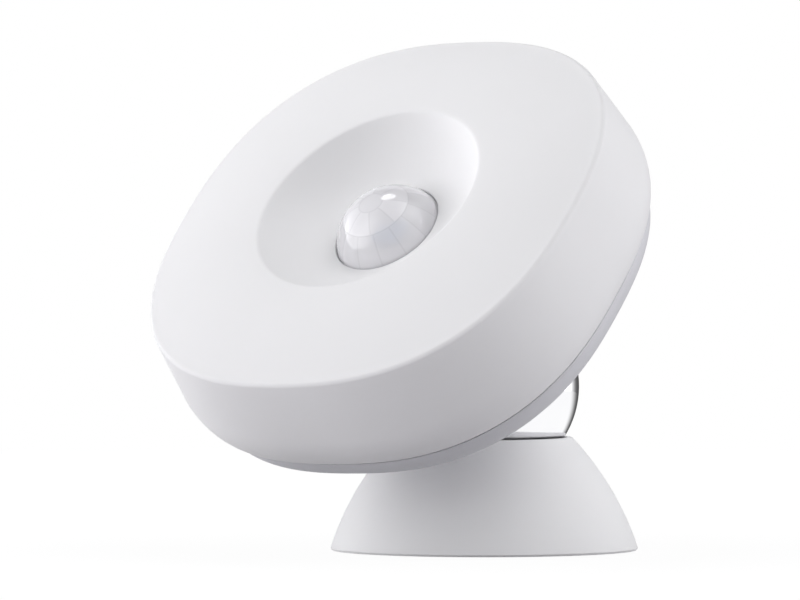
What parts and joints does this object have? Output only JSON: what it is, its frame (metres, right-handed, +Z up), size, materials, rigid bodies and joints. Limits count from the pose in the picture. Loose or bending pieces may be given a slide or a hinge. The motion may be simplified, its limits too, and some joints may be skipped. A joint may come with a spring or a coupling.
{
  "type": "motion sensor",
  "caption": "Battery motion sensor: a soft rounded-square head with a dished face and faceted dome lens, held by a magnet on a chrome ball in a small domed foot.",
  "frame": {"origin": "centre of the foot pad's underside, on the surface that the sensor stands on", "axes": "+Z up out of that surface through the ball's centre, -Y the way the head faces, +X the head's left-to-right tilt axis"},
  "size_m": [0.0568, 0.0586, 0.0599],
  "materials": {
    "shell_white": "fine satin moulded white",
    "cover_white": "fine satin moulded white, slightly cooler",
    "foot_white": "fine satin moulded white",
    "button_white": "satin",
    "lens_milk": "milky translucent, glossy, faceted",
    "inner_plastic": "matt",
    "black_plastic": "matt",
    "ball_chrome": "mirror polished",
    "steel": "satin plated",
    "screw_steel": "satin",
    "cell_metal": "bright nickel look",
    "contact_metal": "nickel-plated spring strip",
    "magnet": "nickel plated",
    "seat_rubber": "matt light grey",
    "pad_rubber": "matt dark grey",
    "board_green": "solder resist",
    "window_silicon": "dark filter window",
    "led_resin": "clear resin over chip"
  },
  "bodies": {
    "foot": {"base_shell": "foot_white", "base_plate": "steel", "base_magnet": "magnet", "base_screw_1": "screw_steel", "base_screw_2": "screw_steel", "base_screw_3": "screw_steel", "foot_pad": "pad_rubber"},
    "seat": {"ball_seat": "seat_rubber"},
    "ball": {"steel_ball": "ball_chrome"},
    "magnet": {"pole_cup": "steel", "head_magnet": "magnet"},
    "cover": {"rear_cover": "cover_white"},
    "button": {"pairing_button": "button_white"},
    "front": {"front_housing": "shell_white", "fresnel_lens": "lens_milk", "lens_retainer": "inner_plastic", "pir_sensor": "steel", "pir_window": "window_silicon", "main_board": "board_green", "radio_module": "steel", "status_led": "led_resin", "tact_switch": "black_plastic", "battery_tray": "black_plastic", "coin_cell": "cell_metal", "battery_positive_clip": "contact_metal", "battery_negative_contact": "contact_metal", "board_screw_1": "screw_steel", "board_screw_2": "screw_steel", "board_screw_3": "screw_steel"}
  },
  "joints": [
    {"name": "head_pan", "type": "hinge", "parent": "foot", "child": "seat", "pos_m": [0, 0, 0.01935], "axis": [0, 0, 1], "continuous": true},
    {"name": "head_tilt", "type": "hinge", "parent": "seat", "child": "ball", "pos_m": [0, 0, 0.01935], "axis": [-1, 0, 0], "range_deg": [-18, 108]},
    {"name": "head_lift", "type": "slide", "parent": "ball", "child": "magnet", "axis": [0, -0.7071, 0.7071], "range_m": [0, 0.012]},
    {"name": "head_roll", "type": "hinge", "parent": "magnet", "child": "cover", "pos_m": [0, 0, 0.01935], "axis": [0, -0.7071, 0.7071], "continuous": true},
    {"name": "housing_pull", "type": "slide", "parent": "cover", "child": "front", "axis": [0, -0.7071, 0.7071], "range_m": [0, 0.015]},
    {"name": "button_press", "type": "slide", "parent": "cover", "child": "button", "axis": [0, -0.7071, 0.7071], "range_m": [0, 0.0005], "stiffness_N_per_m": 2000, "springref_m": -0.0003}
  ]
}
